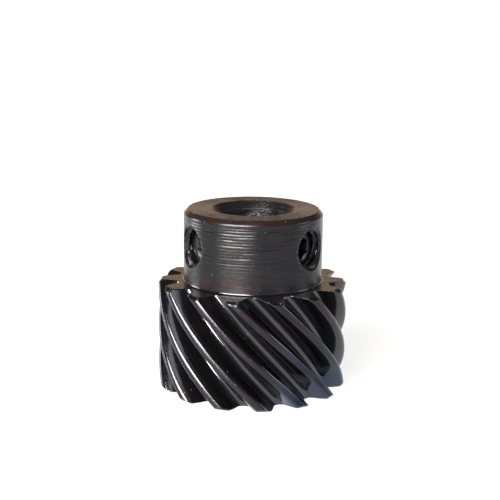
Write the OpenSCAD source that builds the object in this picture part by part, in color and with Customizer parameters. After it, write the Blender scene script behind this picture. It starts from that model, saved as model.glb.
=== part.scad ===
// Helical gear with a plain bore and a hub that is clamped to its shaft by three radial set screws.
// The gear stands on its toothed end. The origin is on the bore's axis, in the toothed end face,
// and +Z runs along the axis towards the hub's free end. The front of the gear faces -Y.

/* [Teeth] */
// Number of teeth
tooth_count = 14; // [14:1:17]
// Module, measured square to the tooth
normal_module = 1.25; // [1.2:0.01:1.35]
// Angle between a tooth and the gear's axis at the pitch circle, left hand
helix_angle = 45; // [40:1:46]
// Pressure angle, measured square to the tooth
pressure_angle = 20; // [18:0.5:22]
// Depth of a tooth below the pitch circle, in modules
dedendum_factor = 1.25; // [1.1:0.05:1.25]
// Width of the toothed rim along the axis
face_width = 15.6; // [12:0.2:20]
// Size of the chamfer on both ends of the teeth
tooth_chamfer = 0.5; // [0.3:0.05:0.7]
// Turn of the teeth about the axis, set at the rim's hub side
tooth_turn = -77.2; // [-90:0.1:-60]

/* [Hub] */
// Outside diameter of the hub
hub_d = 20; // [19:0.1:20.5]
// Length of the hub beyond the rim
hub_length = 10.4; // [9.6:0.1:14]
// Size of the chamfer round the hub's free end
hub_chamfer = 0.6; // [0.3:0.05:0.9]
// Radius of the fillet where the hub meets the rim
hub_fillet = 0.3; // [0.15:0.05:0.4]
// Diameter of the shaft bore
bore_d = 10; // [8:0.05:11]
// Size of the chamfer at both mouths of the bore
bore_chamfer = 1; // [0.4:0.1:1.2]

/* [Set screws] */
// Number of set screws round the hub
screw_count = 3; // [3:1:3]
// Diameter of a screw hole, the outside of its thread
screw_hole_d = 6; // [5:0.5:6]
// Distance of the screw holes from the hub's free end
screw_drop = 4.75; // [4.2:0.05:5.2]
// Direction of the first screw hole, which is at the rear
screw_turn = 86.6; // [80:0.1:95]
// Length of a set screw
screw_length = 3; // [2.5:0.1:3.5]
// Gap between a screw's thread and its hole, on the radius
screw_gap = 0.05; // [0.02:0.01:0.1]
// Distance that a screw's point stands back from the bore's wall at rest
screw_setback = 0.2; // [0.1:0.05:0.5]
// Width across the flats of the hexagon socket
socket_flats = 3; // [2.5:0.1:3]
// Depth of the hexagon socket
socket_depth = 1.8; // [1.5:0.1:2]
// Size of the chamfer at both ends of a screw
screw_chamfer = 0.45; // [0.3:0.05:0.6]

/* [Hidden] */

ROUND_FACETS = 96;
FLANK_STEPS = 4;
TIP_STEPS = 2;
ROOT_STEPS = 2;
TWIST_SLICES = 16;
CUT = 1;

pitch_radius = tooth_count * normal_module / cos(helix_angle) / 2;
tip_radius = pitch_radius + normal_module;
root_radius = pitch_radius - dedendum_factor * normal_module;
transverse_pressure = atan(tan(pressure_angle) / cos(helix_angle));
base_radius = pitch_radius * cos(transverse_pressure);
flank_start = max(base_radius, root_radius + 0.2);
tooth_pitch_angle = 360 / tooth_count;
lead = PI * 2 * pitch_radius / tan(helix_angle);
face_twist = 360 * face_width / lead;

gear_length = face_width + hub_length;
hub_radius = hub_d / 2;
bore_radius = bore_d / 2;
screw_z = gear_length - screw_drop;
screw_radius = screw_hole_d / 2 - screw_gap;
screw_tip_radius = bore_radius + screw_setback;
socket_corner_radius = socket_flats / 2 / cos(30);

function polar(radius, angle) = [radius * cos(angle), radius * sin(angle)];

// Polar angle of an involute, in degrees, where it reaches a radius
function involute(radius) =
    let (reach = acos(base_radius / radius))
    tan(reach) * 180 / PI - reach;

// Half the angle that a tooth takes up at a radius
function half_tooth(radius) =
    tooth_pitch_angle / 4 + involute(pitch_radius) - involute(radius);

// Radii of the points along one flank, from its foot to the tip
function flank_radius(step) = flank_start + (tip_radius - flank_start) * step / FLANK_STEPS;

// One tooth with the gap behind it, as points in order of rising angle
function tooth_points(middle) =
    let (
        foot = half_tooth(flank_start),
        tip = half_tooth(tip_radius),
        gap = tooth_pitch_angle - 2 * foot,
        corner = 0.2 * gap
    )
    concat(
        [for (i = [0:FLANK_STEPS])
            polar(flank_radius(i), middle - half_tooth(flank_radius(i)))],
        [for (i = [1:TIP_STEPS - 1])
            polar(tip_radius, middle - tip + 2 * tip * i / TIP_STEPS)],
        [for (i = [FLANK_STEPS:-1:0])
            polar(flank_radius(i), middle + half_tooth(flank_radius(i)))],
        [for (i = [0:ROOT_STEPS])
            polar(root_radius, middle + foot + corner + (gap - 2 * corner) * i / ROOT_STEPS)]
    );

module tooth_ring() {
    linear_extrude(height = face_width, twist = face_twist, slices = TWIST_SLICES)
        rotate(tooth_turn + face_twist)
            polygon([for (i = [0:tooth_count - 1]) each tooth_points(i * tooth_pitch_angle)]);
}

// Turned blank that trims the corners off both ends of the teeth
module rim_blank() {
    outer = tip_radius + CUT;
    chamfer_start = tip_radius - tooth_chamfer;
    rise = outer - chamfer_start;
    rotate_extrude($fn = ROUND_FACETS)
        polygon([
            [0, 0],
            [chamfer_start, 0],
            [outer, rise],
            [outer, face_width - rise],
            [chamfer_start, face_width],
            [0, face_width]
        ]);
}

module hub() {
    overlap = 2;
    rotate_extrude($fn = ROUND_FACETS)
        difference() {
            union() {
                polygon([
                    [0, face_width - overlap],
                    [hub_radius, face_width - overlap],
                    [hub_radius, gear_length - hub_chamfer],
                    [hub_radius - hub_chamfer, gear_length],
                    [0, gear_length]
                ]);
                translate([hub_radius - CUT / 10, face_width - CUT / 10])
                    square(hub_fillet + CUT / 10);
            }
            translate([hub_radius + hub_fillet, face_width + hub_fillet])
                circle(hub_fillet, $fn = ROUND_FACETS);
        }
}

module shaft_bore() {
    mouth = bore_radius + bore_chamfer;
    rotate_extrude($fn = ROUND_FACETS)
        polygon([
            [0, -CUT],
            [mouth + CUT, -CUT],
            [bore_radius, bore_chamfer],
            [bore_radius, gear_length - bore_chamfer],
            [mouth + CUT, gear_length + CUT],
            [0, gear_length + CUT]
        ]);
}

// Moves a shape that lies along +X to the radial direction of one screw hole
module at_screw(index) {
    rotate(screw_turn + 360 / screw_count * index)
        translate([0, 0, screw_z])
            children();
}

module screw_hole() {
    rotate([0, 90, 0])
        cylinder(h = hub_radius + CUT, d = screw_hole_d, $fn = ROUND_FACETS);
}

module helical_gear() {
    color([0.07, 0.07, 0.08])
        difference() {
            union() {
                intersection() {
                    tooth_ring();
                    rim_blank();
                }
                hub();
            }
            shaft_bore();
            for (i = [0:screw_count - 1])
                at_screw(i) screw_hole();
        }
}

// Headless screw with a hexagon socket, its point towards the gear's axis
module set_screw(index) {
    color([0.1, 0.1, 0.11])
        at_screw(index)
            translate([screw_tip_radius, 0, 0])
                rotate([0, 90, 0])
                    difference() {
                        rotate_extrude($fn = ROUND_FACETS)
                            polygon([
                                [0, 0],
                                [screw_radius - screw_chamfer, 0],
                                [screw_radius, screw_chamfer],
                                [screw_radius, screw_length - screw_chamfer],
                                [screw_radius - screw_chamfer, screw_length],
                                [0, screw_length]
                            ]);
                        translate([0, 0, screw_length - socket_depth])
                            cylinder(h = socket_depth + CUT, r = socket_corner_radius, $fn = 6);
                    }
}

module rear_set_screw() { set_screw(0); }
module left_set_screw() { set_screw(1); }
module right_set_screw() { set_screw(2); }

helical_gear();
rear_set_screw();
left_set_screw();
right_set_screw();
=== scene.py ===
"""Looks of a black-oxide helical gear with three set screws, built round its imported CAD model.

Shapes are worked out in millimetres and turned into metres when a mesh is made.
Angles are in radians, measured about +Z from +X, and the front of the gear faces -Y.
"""

import math

import bmesh
import bpy
import numpy as np
from mathutils import Matrix, Vector

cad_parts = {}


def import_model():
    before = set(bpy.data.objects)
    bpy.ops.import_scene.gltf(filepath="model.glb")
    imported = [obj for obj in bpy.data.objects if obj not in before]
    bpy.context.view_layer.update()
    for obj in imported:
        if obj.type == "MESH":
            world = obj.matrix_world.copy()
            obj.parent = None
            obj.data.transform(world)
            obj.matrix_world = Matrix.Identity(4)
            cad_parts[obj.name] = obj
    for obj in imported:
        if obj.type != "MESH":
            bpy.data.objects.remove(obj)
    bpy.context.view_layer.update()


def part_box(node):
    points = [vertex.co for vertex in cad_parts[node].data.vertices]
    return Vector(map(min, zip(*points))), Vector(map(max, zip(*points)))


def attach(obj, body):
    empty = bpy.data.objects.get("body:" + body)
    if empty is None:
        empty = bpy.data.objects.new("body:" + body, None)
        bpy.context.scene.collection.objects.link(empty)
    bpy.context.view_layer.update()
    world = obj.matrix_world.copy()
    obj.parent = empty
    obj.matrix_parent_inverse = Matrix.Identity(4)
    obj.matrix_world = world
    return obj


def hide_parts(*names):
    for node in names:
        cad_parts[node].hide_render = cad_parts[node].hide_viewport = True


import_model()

# ---------------------------------------------------------------- sizes, in millimetres
MM = 0.001
GEAR = "helical_gear"
gear_low, gear_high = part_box(GEAR)
GEAR_LENGTH = (gear_high.z - gear_low.z) / MM

# Teeth, left hand: FACE is the rim's width and TOOTH_TURN the turn of the teeth at its hub side
TEETH = 14
NORMAL_MODULE = 1.25
HELIX = math.radians(45)
PRESSURE = math.radians(20)
FACE = 15.6
TOOTH_TURN = math.radians(-77.2)
TOOTH_CHAMFER = 0.5

PITCH_R = TEETH * NORMAL_MODULE / math.cos(HELIX) / 2
TIP_R = PITCH_R + NORMAL_MODULE
ROOT_R = PITCH_R - 1.25 * NORMAL_MODULE
TRANSVERSE_PRESSURE = math.atan(math.tan(PRESSURE) / math.cos(HELIX))
BASE_R = PITCH_R * math.cos(TRANSVERSE_PRESSURE)
TOOTH_ANGLE = 2 * math.pi / TEETH
# Turn of the teeth for each millimetre of height
TWIST = math.tan(HELIX) / PITCH_R

# Where the involute starts above the root, and the part of a gap that slopes at each side of its floor
FOOT_RISE = 0.2
GAP_CORNER = 0.2
# How far along the outline its corners are smoothed, at the tips and at the roots, and the heights above
# the root over which the one goes over into the other
TIP_ROUNDING = 0.36
ROOT_ROUNDING = 0.38
BLEND_FROM = 0.4
BLEND_SPAN = 0.8
# Rounding of the edges of both tooth ends
EDGE_ROUNDING = 0.07

# Hub and bore
HUB_R = 10.0
HUB_CHAMFER = 0.6
HUB_FILLET = 0.3
BORE_R = 5.0
BORE_CHAMFER = 1.0
# Rounding of the hub's and the bore's small edges
SMALL_ROUNDING = 0.08
# Rounding between the hub's wall and its chamfer, and the ends of the straight wall
EDGE_BREAK = 0.5
WALL_FOOT = FACE + HUB_FILLET
WALL_TOP = GEAR_LENGTH - HUB_CHAMFER - EDGE_BREAK * math.tan(math.pi / 8) - 0.02

# Grooves that the lathe left in the hub's wall. The reach is half a groove's width.
GROOVE_PITCH = 0.42
GROOVE_SHIFT = 0.12
GROOVE_REACH = 0.12
GROOVE_DEPTH = 0.075
# Height above the hub's foot where the grooves start to deepen, and over which they do
GROOVES_FROM = 3.2
GROOVES_SPAN = 2.0
# The part of their full depth that the grooves have below that
GROOVES_LOW = 0.15
SHIFT_SEED = 11
BREAK_SEED = 5

# Screw holes and set screws. Each node has its direction in degrees.
SCREWS = {"rear_set_screw": 86.6, "left_set_screw": 206.6, "right_set_screw": 326.6}
SCREW_DROP = 4.75
SCREW_Z = GEAR_LENGTH - SCREW_DROP
SCREW_LENGTH = 3.0
SCREW_TIP = BORE_R + 0.2
SCREW_CHAMFER = 0.5
SOCKET_FLATS = 3.0
SOCKET_DEPTH = 1.8
# The chamfer round the socket's mouth starts this far outside the flats
SOCKET_CHAMFER = 0.32
# Shallow cup in a screw's point
CUP_R = 1.15
CUP_FLOOR_R = 0.9
CUP_DEPTH = 0.25
# The screws travel by whole pitches, so the threads mesh at both ends of the travel too
THREAD_PITCH = 1.0
THREAD_OUT = 3.0
THREAD_IN = 2.46
THREAD_GAP = 0.05
# Parts of a pitch that lie at the thread's inner radius and that its two flanks take up
THREAD_FLAT = 0.16
THREAD_FLANKS = 0.62
# Where the threads of the holes start and stop, clear of the metal on both sides
HOLE_START = 3.2
HOLE_STOP = 11.0
# A hole's countersink, about 45 degrees: its radius at each distance out from the hub's wall
MOUTH_R = 3.14
MOUTH = ((2.0, -1.12), (2.45, -0.67), (MOUTH_R, 0.0), (MOUTH_R + 0.3, 0.3), (MOUTH_R + 0.3, 1.0))


# ---------------------------------------------------------------- how fine the meshes are
# Points of a sharp tooth's flank, tip and gap floor, and of a whole tooth when smoothed and in the mesh
FLANK_POINTS = 24
TIP_POINTS = 12
FLOOR_POINTS = 8
FINE_POINTS = 900
TOOTH_POINTS = 36
# Length of outline that a radian of turning counts for when the mesh's points are spread
TURN_WEIGHT = 0.45
TOOTH_SLICES = 32
# Heights of the rings within a tooth end's chamfer
CHAMFER_HEIGHTS = (0.14, 0.26, 0.38, TOOTH_CHAMFER)
# Parts of the way in from a toothed edge at which the end faces' rings lie
BOTTOM_STEPS = (0.06, 0.3, 0.65, 1.0)
TOP_STEPS = (0.08, 0.35, 0.7, 1.0)
HUB_SEGMENTS = TEETH * TOOTH_POINTS // 2
ARC_STEPS = 4
EDGE_STEPS = 3
THREAD_SEGMENTS = 72
# Rings for each pitch of the thread
HOLE_RINGS = 10
SCREW_RINGS = 14
MOUTH_SEGMENTS = 120
# The gear's closed chain of rings starts and ends at this radius in its bottom face
SEAM_R = 8.6
# Length of bore over which the mesh turns from the upper teeth's points to the lower teeth's
BORE_TURN = 20.0
# Points nearer to each other than this are merged, in millimetres
WELD = 0.001
# Edges that bend by more degrees than this stay sharp
GEAR_CREASE = 38
SCREW_CREASE = 32


# ---------------------------------------------------------------- mesh tools
def make_object(name, vertices, faces):
    """A mesh object from points in millimetres."""
    mesh = bpy.data.meshes.new(name)
    mesh.from_pydata((np.asarray(vertices) * MM).tolist(), [], [list(f) for f in faces])
    mesh.update()
    thing = bpy.data.objects.new(name, mesh)
    bpy.context.scene.collection.objects.link(thing)
    return thing


def signed_volume(vertices, faces):
    """Volume inside a closed mesh, which is negative when its faces face inwards."""
    points = np.asarray(vertices)
    total = 0.0
    for face in faces:
        corner = points[face[0]]
        for k in range(1, len(face) - 1):
            total += np.dot(corner, np.cross(points[face[k]], points[face[k + 1]]))
    return total / 6


def facing_out(vertices, faces):
    """The faces of a closed mesh, turned round if they face inwards."""
    if signed_volume(vertices, faces) < 0:
        return [tuple(reversed(f)) for f in faces]
    return faces


def join_rings(rings, closed):
    """Faces between successive rings of points. A ring has as many points as the next, twice or half."""
    starts = np.cumsum([0] + [len(r) for r in rings])
    vertices = np.vstack(rings)
    faces = []
    for i in range(len(rings) - 1):
        faces += strip(starts[i], len(rings[i]), starts[i + 1], len(rings[i + 1]))
    if closed:
        last = len(rings) - 1
        faces += strip(starts[last], len(rings[last]), 0, len(rings[0]), closing_shift(rings))
    return vertices, faces


def strip(here, count, there, other_count, shift=0):
    """Faces between two rings, given by the number of their first points and how many points they have."""
    faces = []
    if count == other_count:
        for i in range(count):
            j = (i + 1) % count
            faces.append((here + i, here + j, there + (j + shift) % count, there + (i + shift) % count))
    elif count == 2 * other_count:
        for i in range(other_count):
            j = (i + 1) % other_count
            first, middle, last = here + 2 * i, here + 2 * i + 1, here + (2 * i + 2) % count
            faces.append((first, middle, there + i))
            faces.append((middle, last, there + j, there + i))
    else:
        for i in range(count):
            j = (i + 1) % count
            first, middle, last = there + 2 * i, there + 2 * i + 1, there + (2 * i + 2) % other_count
            faces.append((here + i, middle, first))
            faces.append((here + i, here + j, last, middle))
    return faces


def closing_shift(rings):
    """Which point of the first ring lies beside the last ring's first point."""
    first, last = rings[0], rings[-1]
    turn = math.atan2(first[0][1], first[0][0]) - math.atan2(last[0][1], last[0][0])
    return -round(turn / (2 * math.pi) * len(first)) % len(first)


def full_turn(count):
    """Evenly spread angles all the way round."""
    return np.arange(count) / count * 2 * math.pi


def ring(radius, angle, z):
    """Points round the gear's axis."""
    return np.stack([radius * np.cos(angle), radius * np.sin(angle), z + 0 * angle], axis=-1)


def hole_ring(x, radius, angle):
    """Points round a screw hole's own axis, which is local +X."""
    return np.stack([x + 0 * angle, radius * np.cos(angle), radius * np.sin(angle)], axis=-1)


def rounded_path(corners, spacings):
    """Points along a path with corners (r, z, rounding) and, for each straight stretch, a spacing."""
    points = [np.array(corners[0][:2], float)]
    for i in range(1, len(corners)):
        here = np.array(corners[i][:2], float)
        rounding = corners[i][2]
        if rounding == 0:
            add_line(points, here, spacings[i - 1])
            continue
        before = points[-1]
        after = np.array(corners[i + 1][:2], float)
        u = (before - here) / np.linalg.norm(before - here)
        v = (after - here) / np.linalg.norm(after - here)
        half = math.acos(float(np.clip(np.dot(u, v), -1, 1))) / 2
        reach = rounding / math.tan(half)
        centre = here + (u + v) / np.linalg.norm(u + v) * rounding / math.sin(half)
        start, stop = here + u * reach, here + v * reach
        add_line(points, start, spacings[i - 1])
        add_arc(points, centre, start - centre, stop - centre, rounding)
    return np.array(points)


def add_line(points, stop, spacing):
    """A straight stretch from the last point."""
    start = points[-1]
    count = max(1, math.ceil(np.linalg.norm(stop - start) / spacing))
    for k in range(1, count + 1):
        points.append(start + (stop - start) * k / count)


def add_arc(points, centre, start, stop, radius):
    """An arc between two arms from its centre."""
    turn = math.acos(float(np.clip(np.dot(start, stop) / radius**2, -1, 1)))
    for k in range(1, ARC_STEPS + 1):
        t = k / ARC_STEPS
        arm = (start * math.sin((1 - t) * turn) + stop * math.sin(t * turn)) / math.sin(turn)
        points.append(centre + arm)


# ---------------------------------------------------------------- the teeth's outline
def involute(radius):
    """Polar angle of an involute where it reaches a radius."""
    reach = np.arccos(np.clip(BASE_R / radius, 0, 1))
    return np.tan(reach) - reach


def half_tooth(radius):
    """Half the angle that a tooth takes up at a radius."""
    return TOOTH_ANGLE / 4 + involute(PITCH_R) - involute(radius)


def sharp_tooth():
    """One tooth and the gap behind it with sharp corners, as complex numbers."""
    foot_r = max(BASE_R, ROOT_R + FOOT_RISE)
    flank = np.linspace(foot_r, TIP_R, FLANK_POINTS)
    foot, tip = half_tooth(foot_r), half_tooth(TIP_R)
    gap = TOOTH_ANGLE - 2 * foot
    gap_floor = np.linspace(foot + GAP_CORNER * gap, foot + (1 - GAP_CORNER) * gap, FLOOR_POINTS)
    points = [radius * np.exp(-1j * half_tooth(radius)) for radius in flank]
    points += [TIP_R * np.exp(1j * angle) for angle in np.linspace(-tip, tip, TIP_POINTS)[1:-1]]
    points += [radius * np.exp(1j * half_tooth(radius)) for radius in flank[::-1]]
    points += [ROOT_R * np.exp(1j * angle) for angle in gap_floor]
    return np.array(points)


def all_round(tooth):
    """A tooth's points repeated for every tooth."""
    return np.concatenate([tooth * np.exp(1j * TOOTH_ANGLE * k) for k in range(TEETH)])


def sharp_outline():
    """The sharp teeth as a closed loop of evenly spaced points, and their spacing."""
    loop = all_round(sharp_tooth())
    loop = np.append(loop, loop[0])
    length = np.concatenate([[0], np.cumsum(np.abs(np.diff(loop)))])
    count = TEETH * FINE_POINTS
    even = np.arange(count) / count * length[-1]
    points = np.interp(even, length, loop.real) + 1j * np.interp(even, length, loop.imag)
    return points, length[-1] / count


def smooth_loop(points, spacing, width):
    """Blurs a closed loop of evenly spaced points along itself, over a width."""
    wave = np.fft.fftfreq(len(points), d=spacing)
    return np.fft.ifft(np.fft.fft(points) * np.exp(-2 * (math.pi * wave * width) ** 2))


def thinned_tooth(outline):
    """The first tooth of a fine outline with few points, closer together where it turns."""
    ahead = np.roll(outline, -1) - outline
    turn = np.abs(np.angle(ahead) - np.angle(outline - np.roll(outline, 1)))
    turn = np.minimum(turn, 2 * math.pi - turn)
    weight = np.abs(ahead) + TURN_WEIGHT * turn
    reached = np.concatenate([[0], np.cumsum(weight[:FINE_POINTS])])
    marks = np.arange(TOOTH_POINTS) / TOOTH_POINTS * reached[-1]
    place = np.interp(marks, reached, np.arange(FINE_POINTS + 1))
    low = place.astype(int)
    return outline[low] + (outline[low + 1] - outline[low]) * (place - low)


def tooth_outline():
    """The outline of all the teeth as complex numbers, with rounded tips and filleted roots."""
    sharp, spacing = sharp_outline()
    at_tips = smooth_loop(sharp, spacing, TIP_ROUNDING)
    at_roots = smooth_loop(sharp, spacing, ROOT_ROUNDING)
    blend = np.clip((np.abs(sharp) - ROOT_R - BLEND_FROM) / BLEND_SPAN, 0, 1)
    blend = smooth_loop(blend * blend * (3 - 2 * blend), spacing, BLEND_SPAN / 4).real
    return all_round(thinned_tooth(at_roots + (at_tips - at_roots) * blend))


def inset(outline, distance):
    """The outline moved inwards by a distance, square to itself."""
    along = np.roll(outline, -1) - np.roll(outline, 1)
    normal = -1j * along / np.abs(along)
    return outline - normal * distance


def clip_to(outline, limit):
    """The outline trimmed by a circle."""
    return outline * np.minimum(1, limit / np.abs(outline))


# ---------------------------------------------------------------- the gear
def tooth_rings():
    """Rings from the toothed end face up to the rim's hub side, edges rounded at both ends."""
    outline = tooth_outline()
    start = []
    for k in range(EDGE_STEPS + 1):
        angle = math.pi / 2 * k / EDGE_STEPS
        start.append((EDGE_ROUNDING * (1 - math.cos(angle)), EDGE_ROUNDING * (1 - math.sin(angle))))
    chamfer_end = TOOTH_CHAMFER + 0.1
    start += [(z, 0) for z in (*CHAMFER_HEIGHTS, chamfer_end)]
    middle = [(z, 0) for z in np.linspace(chamfer_end, FACE - chamfer_end, TOOTH_SLICES)[1:-1]]
    rings = []
    for z, move in start + middle + [(FACE - z, move) for z, move in reversed(start)]:
        shape = clip_to(outline, TIP_R - TOOTH_CHAMFER + min(z, FACE - z))
        if move > 0:
            shape = inset(shape, move)
        turned = shape * np.exp(1j * (TOOTH_TURN + TWIST * (FACE - z)))
        rings.append(np.stack([turned.real, turned.imag, np.full(len(turned), z)], axis=-1))
    return rings


def end_face_rings(edge, inner_r, steps, z):
    """Flat rings from a toothed edge in to a circle of evenly spread points, and the circle's angles."""
    outer = np.hypot(edge[:, 0], edge[:, 1])
    angle = np.unwrap(np.arctan2(edge[:, 1], edge[:, 0]))
    even = angle.mean() + (np.arange(len(angle)) - (len(angle) - 1) / 2) * 2 * math.pi / len(angle)
    rings = []
    for t in steps:
        rings.append(ring(outer + (inner_r - outer) * t, angle + (even - angle) * min(1, t * 1.2), z))
    return rings, even


def groove_heights():
    """Heights of the lathe's grooves on the hub's wall, unevenly spaced."""
    count = int((WALL_TOP - WALL_FOOT) / GROOVE_PITCH)
    shifts = np.random.default_rng(SHIFT_SEED).uniform(-GROOVE_SHIFT, GROOVE_SHIFT, count)
    return [WALL_FOOT + GROOVE_PITCH * (k + 0.5 + shifts[k]) for k in range(count)]


def wall_heights(grooves):
    """Heights of the wall's rings: five across each groove and one between each two."""
    heights = [WALL_FOOT]
    for z in grooves:
        heights.append((heights[-1] + z - GROOVE_REACH) / 2)
        heights += [z + GROOVE_REACH * t for t in (-1, -0.5, 0, 0.5, 1)]
    heights.append(WALL_TOP)
    return heights


def groove_depth(z, angle, grooves):
    """Depth of the grooves at one height. Each has its own force and breaks, and the upper are deeper."""
    random = np.random.default_rng(BREAK_SEED)
    depth = 0 * angle
    for middle in grooves:
        force, first, second, third = random.uniform(0, 1, 4)
        if abs(z - middle) < GROOVE_REACH:
            rise = np.clip((middle - WALL_FOOT - GROOVES_FROM) / GROOVES_SPAN, 0, 1)
            upper = GROOVES_LOW + (1 - GROOVES_LOW) * rise
            turns = 2 * math.pi * np.array([first, second, third])
            broken = np.sin(2 * angle + turns[0]) * np.sin(5 * angle + turns[1])
            broken = broken + 0.5 * np.sin(11 * angle + turns[2])
            length = np.clip(0.6 + 0.7 * broken, 0.3, 1)
            depth = depth + upper * (0.35 + 0.65 * force) * length * (1 - abs(z - middle) / GROOVE_REACH)
    return GROOVE_DEPTH * depth


def hub_path(grooves):
    """Radius and height of each ring, from the hub's foot over its end and down the bore to the seam."""
    path = rounded_path(
        [
            (HUB_R + HUB_FILLET, FACE, 0),
            (HUB_R, FACE, HUB_FILLET * 0.9),
            (HUB_R, GEAR_LENGTH - HUB_CHAMFER, EDGE_BREAK),
            (HUB_R - HUB_CHAMFER, GEAR_LENGTH, SMALL_ROUNDING),
            (BORE_R + BORE_CHAMFER, GEAR_LENGTH, SMALL_ROUNDING),
            (BORE_R, GEAR_LENGTH - BORE_CHAMFER, SMALL_ROUNDING),
            (BORE_R, BORE_CHAMFER, SMALL_ROUNDING),
            (BORE_R + BORE_CHAMFER, 0, SMALL_ROUNDING),
            (SEAM_R, 0, 0),
        ],
        (0.1, 0.1, 0.15, 0.3, 0.25, 0.6, 0.25, 0.8),
    )[:-1]
    foot = [p for p in path if p[0] > HUB_R - 0.01 and p[1] < WALL_FOOT - 0.001]
    wall = [(HUB_R, z) for z in wall_heights(grooves)]
    rest = [p for p in path if p[0] < HUB_R - 0.01 or p[1] > WALL_TOP + 0.001]
    return foot + wall + rest


def hub_rings(top_angle, bottom_angle):
    """Rings of the hub and the bore, which turn down the bore until they line up with the bottom face."""
    grooves = groove_heights()
    segment = 2 * math.pi / HUB_SEGMENTS
    turn = bottom_angle[0] - top_angle[0]
    turn -= round(turn / segment) * segment
    rings = []
    for radius, z in hub_path(grooves):
        angle = top_angle.copy()
        if radius < BORE_R + BORE_CHAMFER and z < GEAR_LENGTH - BORE_CHAMFER:
            angle = angle + turn * min(1, (GEAR_LENGTH - BORE_CHAMFER - z) / BORE_TURN)
        elif radius == HUB_R and WALL_FOOT < z < WALL_TOP:
            radius = radius - groove_depth(z, angle, grooves)
        rings.append(ring(radius + 0 * angle, angle, z))
    return rings


def gear_body():
    """The gear without its screw holes, as one closed mesh."""
    teeth = tooth_rings()
    bottom, bottom_angle = end_face_rings(teeth[0], SEAM_R, BOTTOM_STEPS, 0.0)
    top, top_angle = end_face_rings(teeth[-1], HUB_R + HUB_FILLET, TOP_STEPS, FACE)
    rings = bottom[::-1] + teeth + top + hub_rings(top_angle[::2], bottom_angle[::2])
    vertices, faces = join_rings(rings, closed=True)
    return make_object(GEAR + "_body", vertices, facing_out(vertices, faces))


# ---------------------------------------------------------------- threads, holes and cuts
def thread_radius(along, around, outer, inner):
    """Radius of a right-hand 60 degree thread at a distance along it and an angle round it."""
    phase = (along / THREAD_PITCH - around / (2 * math.pi)) % 1
    rise = np.abs(phase - 0.5) * 2
    return inner + (outer - inner) * np.clip((rise - THREAD_FLAT) / THREAD_FLANKS, 0, 1)


def thread_rod(start, stop, outer, inner, per_pitch):
    """Rings of a threaded rod along local +X."""
    around = full_turn(THREAD_SEGMENTS)
    count = round((stop - start) / THREAD_PITCH * per_pitch) + 1
    rings = []
    for x in np.linspace(start, stop, count):
        rings.append(hole_ring(x, thread_radius(x, around, outer, inner), around))
    return rings


def capped(rings):
    """A closed tube of rings with a flat fan on each end, facing outwards."""
    vertices, faces = join_rings(rings, closed=False)
    count = len(rings[0])
    first, last = len(vertices), len(vertices) + 1
    base = len(vertices) - count
    for i in range(count):
        j = (i + 1) % count
        faces.append((first, j, i))
        faces.append((last, base + i, base + j))
    vertices = np.vstack([vertices, rings[0].mean(0), rings[-1].mean(0)])
    return vertices, facing_out(vertices, faces)


def to_hole(points, degrees):
    """Moves points from a hole's own axes, +X outwards, to the gear."""
    angle = math.radians(degrees)
    x, y, z = points.T
    across = x * math.cos(angle) - y * math.sin(angle)
    ahead = x * math.sin(angle) + y * math.cos(angle)
    return np.stack([across, ahead, z + SCREW_Z], axis=-1)


def merged(parts):
    """Several closed meshes as one."""
    vertices, faces, start = [], [], 0
    for points, polygons in parts:
        vertices.append(points)
        faces += [tuple(v + start for v in f) for f in polygons]
        start += len(points)
    return np.vstack(vertices), faces


def mouth_plug():
    """A countersink that follows the hub's wall round the mouth of a hole."""
    around = full_turn(MOUTH_SEGMENTS)
    rings = []
    for radius, out in MOUTH:
        wall = np.sqrt(HUB_R**2 - (radius * np.cos(around)) ** 2)
        rings.append(hole_ring(wall + out, radius, around))
    return capped(rings)


def hole_cutters():
    """The threaded holes and their countersinks, as solids to cut away."""
    plugs, mouths = [], []
    for degrees in SCREWS.values():
        points, faces = capped(thread_rod(HOLE_START, HOLE_STOP, THREAD_OUT, THREAD_IN, HOLE_RINGS))
        plugs.append((to_hole(points, degrees), faces))
        points, faces = mouth_plug()
        mouths.append((to_hole(points, degrees), faces))
    return [make_object("plugs", *merged(plugs)), make_object("mouths", *merged(mouths))]


def cut(target, cutters, operation="DIFFERENCE"):
    """Applies exact cuts to a closed mesh, then removes the cutters."""
    for cutter in cutters:
        step = target.modifiers.new(cutter.name, "BOOLEAN")
        step.operation = operation
        step.solver = "MANIFOLD"
        step.object = cutter
    bpy.context.view_layer.update()
    shape = target.evaluated_get(bpy.context.evaluated_depsgraph_get())
    mesh = bpy.data.meshes.new_from_object(shape)
    target.modifiers.clear()
    target.data = mesh
    for cutter in cutters:
        bpy.data.objects.remove(cutter)
    return target


# ---------------------------------------------------------------- set screws
def screw_blank(start, stop, outer):
    """The space that the thread is trimmed to: chamfered ends, a cup in the point and a socket's mouth."""
    clear = 0.2
    path = rounded_path(
        [
            (CUP_FLOOR_R, start + CUP_DEPTH, 0),
            (CUP_R, start, 0.05),
            (outer - SCREW_CHAMFER, start, SMALL_ROUNDING),
            (outer + clear, start + (SCREW_CHAMFER + clear), 0),
            (outer + clear, stop - (SCREW_CHAMFER + clear), 0),
            (outer - SCREW_CHAMFER, stop, SMALL_ROUNDING),
            (SOCKET_FLATS / 2 + SOCKET_CHAMFER, stop, 0.05),
            (SOCKET_FLATS / 2 - 0.1, stop - 0.2, 0),
        ],
        (0.2, 0.2, 0.3, 0.3, 0.3, 0.3, 0.3),
    )
    around = full_turn(THREAD_SEGMENTS)
    return capped([hole_ring(x, radius, around) for radius, x in path])


def screw_socket(stop):
    """The hexagon socket with the cone that its drill left."""
    corner = SOCKET_FLATS / 2 / math.cos(math.radians(30))
    corners = math.radians(30) + np.arange(6) * math.pi / 3
    floor_x = stop - SOCKET_DEPTH
    path = ((floor_x - 0.45, 0.02), (floor_x, 1.0), (stop + 0.4, 1.0))
    return capped([hole_ring(x, corner * size, corners) for x, size in path])


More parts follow.
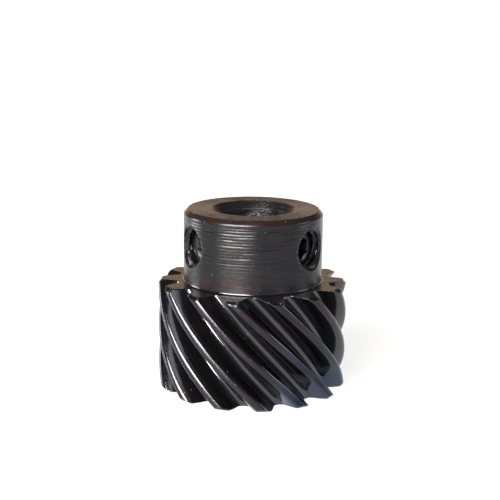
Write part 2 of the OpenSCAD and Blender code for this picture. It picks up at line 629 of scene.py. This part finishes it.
def set_screw(name, degrees):
    """A threaded headless screw with chamfered ends and a hexagon socket."""
    start, stop = SCREW_TIP, SCREW_TIP + SCREW_LENGTH
    outer, inner = THREAD_OUT - THREAD_GAP, THREAD_IN - THREAD_GAP
    shapes = {
        "_thread": capped(thread_rod(start - 0.5, stop + 0.5, outer, inner, SCREW_RINGS)),
        "_blank": screw_blank(start, stop, outer),
        "_socket": screw_socket(stop),
    }
    body, blank, socket = [make_object(name + part, to_hole(points, degrees), faces)
                           for part, (points, faces) in shapes.items()]
    cut(body, [blank], "INTERSECT")
    cut(body, [socket])
    return finish_mesh(body, name + "_piece", SCREW_CREASE)


# ---------------------------------------------------------------- finishing a piece's mesh
def finish_mesh(thing, name, crease_degrees):
    """Names a piece, shades it smooth and keeps its real edges crisp."""
    thing.name = name
    thing.data.name = name
    mesh = thing.data
    weld(mesh)
    mesh.polygons.foreach_set("use_smooth", np.ones(len(mesh.polygons), bool))
    mesh.set_sharp_from_angle(angle=math.radians(crease_degrees))
    add_edge_wear(mesh)
    return thing


def weld(mesh):
    """Merges points that lie within a hair of each other, which the cuts leave behind."""
    work = bmesh.new()
    work.from_mesh(mesh)
    bmesh.ops.remove_doubles(work, verts=work.verts, dist=WELD * MM)
    work.to_mesh(mesh)
    work.free()


def mesh_numbers(elements, key, width, kind=float):
    """One property of all of a mesh's elements, as rows of a given width."""
    values = np.zeros(len(elements) * width, kind)
    elements.foreach_get(key, values)
    return values.reshape(-1, width)


def add_edge_wear(mesh):
    """Stores how sharply each point stands out, from 0 to 1, for the material's worn edges."""
    count = len(mesh.vertices)
    places = mesh_numbers(mesh.vertices, "co", 3) / MM
    normals = mesh_numbers(mesh.vertices, "normal", 3)
    a, b = mesh_numbers(mesh.edges, "vertices", 2, int).T
    away = places[b] - places[a]
    length = np.maximum(np.linalg.norm(away, axis=1), 1e-6)
    bend_a = -np.sum(normals[a] * away, axis=1) / length**2
    bend_b = np.sum(normals[b] * away, axis=1) / length**2
    total, weight = np.zeros(count), np.zeros(count)
    np.add.at(total, a, bend_a * length)
    np.add.at(total, b, bend_b * length)
    np.add.at(weight, a, length)
    np.add.at(weight, b, length)
    bend = total / np.maximum(weight, 1e-9)
    for _ in range(2):
        bend = average_with_neighbours(bend, a, b)
    wear = np.clip((bend - WEAR_FROM) / WEAR_SPAN, 0, 1)
    layer = mesh.attributes.new("edge_wear", "FLOAT", "POINT")
    layer.data.foreach_set("value", wear.astype(np.float32))


def average_with_neighbours(values, a, b):
    """Each point's value averaged with those at the other ends of its edges, which join a and b."""
    near, links = values.copy(), np.ones(len(values))
    np.add.at(near, a, values[b])
    np.add.at(near, b, values[a])
    np.add.at(links, a, 1)
    np.add.at(links, b, 1)
    return near / links


# ---------------------------------------------------------------- materials
SURFACES = ("turned", "hobbed", "thread", "crest", "bore", "chamfer", "end", "root")

# For each kind of surface: how light its black is, its least roughness and how much rougher its patches
# are, how deep its tool marks are, how strongly it reflects, and how brown it is
LOOKS = {
    "turned": {"base": 0.0025, "gloss": 0.24, "spread": 0.05, "bump": 0.9, "specular": 0.21, "brown": 0},
    "hobbed": {"base": 0.0008, "gloss": 0.08, "spread": 0.05, "bump": 0.5, "specular": 0.40, "brown": 0},
    "thread": {"base": 0.0008, "gloss": 0.12, "spread": 0.08, "bump": 1.5, "specular": 0.32, "brown": 0},
    "crest": {"base": 0.0025, "gloss": 0.18, "spread": 0.10, "bump": 1.6, "specular": 0.30, "brown": 0},
    "bore": {"base": 0.002, "gloss": 0.12, "spread": 0.10, "bump": 2.6, "specular": 0.20, "brown": 0.25},
    "chamfer": {"base": 0.003, "gloss": 0.18, "spread": 0.06, "bump": 0.6, "specular": 0.18, "brown": 0.9},
    "end": {"base": 0.002, "gloss": 0.12, "spread": 0.06, "bump": 0.3, "specular": 0.42, "brown": 0},
    "root": {"base": 0.002, "gloss": 0.10, "spread": 0.06, "bump": 0.1, "specular": 0.85, "brown": 0},
    "screw": {"base": 0.003, "gloss": 0.28, "spread": 0.10, "bump": 0.12, "specular": 0.30, "brown": 0},
}
# Surfaces whose tool marks run along the teeth, and surfaces that are brushed round the axis
ALONG_TEETH = ("hobbed", "root", "crest")
BRUSHED = ("turned", "crest")

SPECULAR_TINTS = {"turned": (0.92, 0.93, 1.0, 1), "crest": (0.84, 0.82, 1.0, 1)}
SPECULAR_TINT = (0.82, 0.85, 1.0, 1)
BROWN = (0.0062, 0.0026, 0.0022, 1)
BARE_STEEL = (0.33, 0.33, 0.34, 1)
DUST = (0.20, 0.205, 0.21, 1)

# Painted reflection: a blue tint low on the gear's right side that stands in for the bluish surround its
# lower flanks and crests mirror there. Its colour, and the heights between which it fades in
PAINTED_BLUE_REFLECTION = {"hobbed": (0.036, 0.044, 0.062, 1), "crest": (0.022, 0.025, 0.040, 1)}
PAINTED_REFLECTION_HEIGHTS = {"hobbed": (5.0, 2.5), "crest": (13.0, 3.0)}

# Outward bend of the surface, in radians a millimetre, where wear starts and over which it grows
WEAR_FROM = 0.35
WEAR_SPAN = 1.6
# How much bare steel shows through at the most worn places
USUAL_WEAR = 0.35
WEAR = {"thread": 0.06}

# How deep a bump of strength 1 is, in millimetres
BUMP_DEPTH = 0.02


class Nodes:
    """Short calls for building one node tree."""

    def __init__(self, tree):
        self.tree = tree

    def add(self, kind, settings=None, **sockets):
        """A node with its settings. A socket is given by its name, or by i and its number."""
        node = self.tree.nodes.new(kind)
        for key, value in (settings or {}).items():
            setattr(node, key, value)
        for key, value in sockets.items():
            numbered = key[0] == "i" and key[1:].isdigit()
            self.put(node.inputs[int(key[1:]) if numbered else key], value)
        return node

    def put(self, socket, value):
        """Links a socket to another node's output, or sets its value."""
        if isinstance(value, bpy.types.NodeSocket):
            self.tree.links.new(value, socket)
        else:
            socket.default_value = value

    def math(self, operation, a, b, clamp=False):
        settings = {"operation": operation, "use_clamp": clamp}
        return self.add("ShaderNodeMath", settings, i0=a, i1=b).outputs[0]

    def noise(self, vector, scale, detail, roughness=0.55):
        """Noise, with a scale in features a unit of the vector."""
        sockets = {"Vector": vector, "Scale": scale, "Detail": detail, "Roughness": roughness}
        return self.add("ShaderNodeTexNoise", **sockets).outputs[0]

    def stretch(self, vector, factors):
        """A vector with each of its parts multiplied."""
        return self.add("ShaderNodeVectorMath", {"operation": "MULTIPLY"}, i0=vector, i1=factors).outputs[0]

    def ramp(self, value, low, high, to_low=0.0, to_high=1.0):
        """A smooth change from one value to another between low and high."""
        sockets = {"Value": value, "From Min": low, "From Max": high, "To Min": to_low, "To Max": to_high}
        return self.add("ShaderNodeMapRange", {"interpolation_type": "SMOOTHSTEP"}, **sockets).outputs[0]

    def mix(self, factor, a, b):
        """A mix of two colours."""
        return self.add("ShaderNodeMix", {"data_type": "RGBA"}, i0=factor, i6=a, i7=b).outputs[2]


def tinted(base, red, green, blue):
    """A colour from how light it is and a factor for each channel."""
    return (base * red, base * green, base * blue, 1)


def finish_patterns(n, kind):
    """The patterns that the finish is made of, laid out in the gear's own millimetres."""
    place = n.add("ShaderNodeTexCoord").outputs["Object"]
    place = n.stretch(place, (1 / MM, 1 / MM, 1 / MM))
    across, _, height = n.add("ShaderNodeSeparateXYZ", Vector=place).outputs
    if kind in ALONG_TEETH:
        unwind = n.math("MULTIPLY", height, TWIST)
        turn = n.add("ShaderNodeVectorRotate", {"rotation_type": "Z_AXIS"}, Vector=place, Angle=unwind)
        place = turn.outputs[0]
        streak_scale, fine_scale = (5.0, 5.0, 0.35), (1.2, 1.2, 5.5)
    else:
        streak_scale, fine_scale = (0.35, 0.35, 9.0), (0.8, 0.8, 22.0)
    return {
        "across": across,
        "height": height,
        "patches": n.noise(place, 0.35, 4.0),
        "streaks": n.noise(n.stretch(place, streak_scale), 1.0, 5.0, 0.6),
        "fine": n.noise(n.stretch(place, fine_scale), 1.0, 4.0, 0.65),
        "grain": n.noise(place, 14.0 if kind == "screw" else 5.0, 4.0, 0.6),
        "red": n.ramp(n.noise(place, 0.3, 4.0), 0.57, 0.70, 0.0, 0.40),
        "edge": n.add("ShaderNodeAttribute", {"attribute_name": "edge_wear"}).outputs["Fac"],
        "speck": dust_specks(n, place),
    }


def dust_specks(n, place):
    """Small specks of dust at a few of the points of a Voronoi pattern."""
    dust = n.add("ShaderNodeTexVoronoi", {"feature": "F1"}, Vector=place, Scale=1.8, Randomness=1.0)
    speck = n.ramp(dust.outputs["Distance"], 0.045, 0.08, 1.0, 0.0)
    chosen = n.add("ShaderNodeSeparateColor", Color=dust.outputs["Color"]).outputs[0]
    return n.math("MULTIPLY", speck, n.ramp(chosen, 0.83, 0.84))


def finish_colour(n, kind, pattern):
    """The finish's colour and how metallic it is: streaked black with red and brown patches, wear, and a
    painted blue reflection low on the right side.
    """
    base, brown = LOOKS[kind]["base"], LOOKS[kind]["brown"]
    patches, height, red = pattern["patches"], pattern["height"], pattern["red"]
    black, grey = tinted(base, 0.9, 0.92, 1.05), tinted(base, 2.2, 2.2, 2.5)
    colour = n.mix(n.ramp(pattern["streaks"], 0.42, 0.72), black, grey)
    if kind == "turned":
        foot = n.math("MULTIPLY", n.ramp(height, FACE + 3.2, FACE + 0.8), n.ramp(patches, 0.46, 0.60))
        red = n.math("MAXIMUM", red, n.math("MULTIPLY", foot, 0.5))
    colour = n.mix(red, colour, tinted(base, 4.2, 1.0, 1.7))
    colour = n.mix(n.ramp(patches, 0.40, 0.60, brown * 0.4, brown), colour, BROWN)
    worn = n.math("MULTIPLY", pattern["edge"], n.ramp(pattern["grain"], 0.42, 0.62), clamp=True)
    worn = n.math("MULTIPLY", worn, WEAR.get(kind, USUAL_WEAR))
    colour = n.mix(worn, colour, BARE_STEEL)
    metal = n.math("MULTIPLY", worn, 1.6, clamp=True)
    # Painted reflection: blue metallic colour on the right side, low down, fixed to the gear rather than
    # coming from the lights
    if kind in PAINTED_BLUE_REFLECTION:
        painted_reflection = n.math("MULTIPLY", n.ramp(pattern["across"], 1.0, 7.0), n.ramp(height, *PAINTED_REFLECTION_HEIGHTS[kind]))
        painted_reflection = n.math("MULTIPLY", painted_reflection, n.ramp(patches, 0.25, 0.5, 0.5, 1.0))
        colour = n.mix(painted_reflection, colour, PAINTED_BLUE_REFLECTION[kind])
        metal = n.math("MAXIMUM", metal, painted_reflection)
    return n.mix(pattern["speck"], colour, DUST), metal


def finish_roughness(n, look, pattern):
    """Glossier and duller patches, dull tool marks and dull dust."""
    rough = n.ramp(pattern["patches"], 0.3, 0.7, look["gloss"], look["gloss"] + look["spread"])
    rough = n.math("ADD", rough, n.ramp(pattern["fine"], 0.35, 0.75, -0.04, 0.08))
    return n.math("ADD", rough, n.math("MULTIPLY", pattern["speck"], 0.5), clamp=True)


def finish_bump(n, look, pattern):
    """Tool marks, grain and dust as small bumps."""
    height = n.math("MULTIPLY", pattern["fine"], 0.6)
    for name, share in (("grain", 0.6), ("streaks", 0.5), ("speck", 0.8)):
        height = n.math("ADD", height, n.math("MULTIPLY", pattern[name], share))
    bump = n.add("ShaderNodeBump", Height=height)
    bump.inputs["Strength"].default_value = min(1.0, look["bump"])
    bump.inputs["Distance"].default_value = BUMP_DEPTH * MM * max(1.0, look["bump"])
    return bump.outputs[0]


def black_oxide(name, kind):
    """Black-oxide steel. The kind of surface sets its tool marks, gloss and tint."""
    look = LOOKS[kind]
    material = bpy.data.materials.new(name)
    material.use_nodes = True
    tree = material.node_tree
    tree.nodes.clear()
    n = Nodes(tree)
    pattern = finish_patterns(n, kind)
    colour, metal = finish_colour(n, kind, pattern)
    shader = n.add("ShaderNodeBsdfPrincipled")
    n.put(shader.inputs["Base Color"], colour)
    n.put(shader.inputs["Metallic"], metal)
    n.put(shader.inputs["Roughness"], finish_roughness(n, look, pattern))
    n.put(shader.inputs["Normal"], finish_bump(n, look, pattern))
    shader.inputs["IOR"].default_value = 1.5
    shader.inputs["Specular IOR Level"].default_value = look["specular"]
    shader.inputs["Specular Tint"].default_value = SPECULAR_TINTS.get(kind, SPECULAR_TINT)
    if kind in BRUSHED:
        shader.inputs["Anisotropic"].default_value = 0.8
        shader.inputs["Anisotropic Rotation"].default_value = 0.25
        around = n.add("ShaderNodeTangent", {"direction_type": "RADIAL", "axis": "Z"})
        n.put(shader.inputs["Tangent"], around.outputs[0])
    out = n.add("ShaderNodeOutputMaterial")
    tree.links.new(shader.outputs[0], out.inputs[0])
    return material


def in_holes(x, y, z, radius):
    """Which points lie in the screw holes, between the bore and the hub's wall."""
    found = np.zeros(len(z), bool)
    between = (radius > BORE_R + 0.02) & (radius < HUB_R - 0.03)
    for degrees in SCREWS.values():
        angle = math.radians(degrees)
        along = x * math.cos(angle) + y * math.sin(angle)
        side = -x * math.sin(angle) + y * math.cos(angle)
        found |= between & (along > 0) & (np.hypot(side, z - SCREW_Z) < MOUTH_R + 0.05)
    return found


def face_regions(mesh):
    """For each face, the number of its kind of surface in SURFACES. Later marks go over earlier ones."""
    x, y, z = (mesh_numbers(mesh.polygons, "center", 3) / MM).T
    radius = np.hypot(x, y)
    below_top = GEAR_LENGTH - z
    in_rim = (z > 0.001) & (z < FACE - 0.001)
    marks = (
        ("end", (radius > HUB_R + HUB_FILLET + 0.01) & (z < FACE + 0.01)),
        ("hobbed", in_rim & (radius > 6.5)),
        ("crest", in_rim & (radius > TIP_R - 0.09)),
        ("root", (z > 0.1) & (z < FACE - 0.1) & (radius > 9) & (radius < ROOT_R + 0.35)),
        ("bore", (np.minimum(z, below_top) > 0.02) & (radius < BORE_R + BORE_CHAMFER - 0.02)),
        ("chamfer", (below_top > 0.02) & (z > WALL_TOP + 0.06) & (radius > 9)),
        ("hobbed", (z > FACE + 0.01) & (z < WALL_FOOT) & (radius > HUB_R + 0.005)),
        ("thread", in_holes(x, y, z, radius)),
    )
    region = np.full(len(z), SURFACES.index("turned"))
    for kind, mask in marks:
        region[mask] = SURFACES.index(kind)
    return region


# ---------------------------------------------------------------- the scene
# The camera's angle above the horizontal and distance from the hub's end, the point it aims at from the
# middle of that end, its roll and its lens
CAMERA_RISE = 0.188
CAMERA_DISTANCE = 165.0
CAMERA_AIM = (-0.43, 0, -6.17)
CAMERA_ROLL = 0.012
CAMERA_LENS = 82.85

# Lights: azimuth and elevation in degrees, then distance, width, height (metres), power (watts), colour.
# Azimuth 0 is the camera's side and 90 is +X.
PANELS = {
    "key": (-30, 31, 0.45, 0.34, 0.30, 19.0, (1.0, 0.94, 0.86)),
    "overhead": (-14, 64, 0.50, 0.22, 0.09, 0.30, (1.0, 1.0, 1.0)),
    "left": (-108, 10, 0.50, 0.16, 0.22, 1.8, (1.0, 1.0, 1.0)),
    "right": (92, 18, 0.50, 0.18, 0.16, 0.72, (0.85, 0.92, 1.0)),
    "front_right": (48, 13, 0.70, 0.80, 0.16, 0.40, (0.95, 0.97, 1.0)),
    "rear_warm": (180, 12, 0.70, 1.2, 0.20, 0.42, (1.0, 0.58, 0.30)),
}

FLOOR_REACH = 12000
FLOOR_REFLECTANCE = 0.08
SKY_COLOUR = (0.95, 0.97, 1.0, 1)
SKY_STRENGTH = 0.125


def set_camera():
    """A long lens in front of the gear, a little above its hub."""
    hub_top = np.array([0, 0, GEAR_LENGTH])
    eye = hub_top + CAMERA_DISTANCE * np.array([0, -math.cos(CAMERA_RISE), math.sin(CAMERA_RISE)])
    aim = hub_top + np.array(CAMERA_AIM)
    forward = (aim - eye) / np.linalg.norm(aim - eye)
    right = np.cross(forward, [0, 0, 1])
    right /= np.linalg.norm(right)
    up = np.cross(right, forward)
    across = math.cos(CAMERA_ROLL) * right + math.sin(CAMERA_ROLL) * up
    upward = -math.sin(CAMERA_ROLL) * right + math.cos(CAMERA_ROLL) * up
    data = bpy.data.cameras.new("camera")
    data.sensor_width = 36
    data.lens = CAMERA_LENS
    data.clip_start = 0.01
    camera = bpy.data.objects.new("camera", data)
    bpy.context.scene.collection.objects.link(camera)
    basis = Matrix((across, upward, -forward)).transposed().to_4x4()
    camera.matrix_world = Matrix.Translation(Vector(eye * MM)) @ basis
    bpy.context.scene.camera = camera


def panel(name, azimuth, elevation, distance, width, height, power, colour):
    """A soft rectangular light aimed at the gear's middle."""
    a, e = math.radians(azimuth), math.radians(elevation)
    middle = Vector((0, 0, GEAR_LENGTH * MM / 2))
    place = Vector((math.sin(a) * math.cos(e), -math.cos(a) * math.cos(e), math.sin(e))) * distance + middle
    data = bpy.data.lights.new(name, "AREA")
    data.shape = "RECTANGLE"
    data.size, data.size_y = width, height
    data.energy = power
    data.color = colour
    light = bpy.data.objects.new(name, data)
    light.visible_camera = False
    bpy.context.scene.collection.objects.link(light)
    light.location = place
    light.rotation_euler = (middle - place).to_track_quat("-Z", "Y").to_euler()


def floor():
    """A wide pale studio floor that glows softly so that it stays white, and glows a little less round the
    gear as painted soft shade round its foot.
    """
    corners = [(x * FLOOR_REACH, y * FLOOR_REACH, 0) for x, y in ((-1, -1), (1, -1), (1, 1), (-1, 1))]
    thing = make_object("studio_floor", corners, [(0, 1, 2, 3)])
    material = bpy.data.materials.new("studio_white")
    material.use_nodes = True
    n = Nodes(material.node_tree)
    shader = material.node_tree.nodes["Principled BSDF"]
    shader.inputs["Base Color"].default_value = (FLOOR_REFLECTANCE, FLOOR_REFLECTANCE, FLOOR_REFLECTANCE, 1)
    shader.inputs["Roughness"].default_value = 0.9
    shader.inputs["Specular IOR Level"].default_value = 0.1
    shader.inputs["Emission Color"].default_value = (1, 1, 1, 1)
    place = n.add("ShaderNodeTexCoord").outputs["Object"]
    away = n.add("ShaderNodeVectorMath", {"operation": "LENGTH"}, i0=place).outputs["Value"]
    # Painted shade: the glow dims towards the gear, a soft darkening round its foot
    n.put(shader.inputs["Emission Strength"], n.ramp(away, 0.01, 0.12, 0.82, 0.99))
    thing.data.materials.append(material)
    return thing


def world():
    """Dim surroundings that meet the floor in a pale band along the horizon."""
    sky = bpy.data.worlds.new("studio")
    bpy.context.scene.world = sky
    sky.use_nodes = True
    n = Nodes(sky.node_tree)
    background = sky.node_tree.nodes["Background"]
    background.inputs["Color"].default_value = SKY_COLOUR
    direction = n.add("ShaderNodeTexCoord").outputs["Generated"]
    height = n.add("ShaderNodeSeparateXYZ", Vector=direction).outputs[2]
    n.put(background.inputs["Strength"], n.ramp(height, 0.05, 0.12, 1.0, SKY_STRENGTH))


set_camera()
stage_floor = floor()
world()
for name, settings in PANELS.items():
    panel(name, *settings)
bpy.context.scene.view_settings.view_transform = "Standard"

gear_piece = finish_mesh(cut(gear_body(), hole_cutters()), "gear_piece", GEAR_CREASE)
gear_piece.data.materials.clear()
for kind in SURFACES:
    gear_piece.data.materials.append(black_oxide("black_oxide_" + kind, kind))
gear_piece.data.polygons.foreach_set("material_index", face_regions(gear_piece.data))
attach(gear_piece, "gear")
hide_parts(GEAR)

screw_material = black_oxide("black_oxide_screw", "screw")
for node, degrees in SCREWS.items():
    screw = set_screw(node, degrees)
    screw.data.materials.clear()
    screw.data.materials.append(screw_material)
    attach(screw, node.replace("_set_screw", "_screw"))
    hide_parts(node)
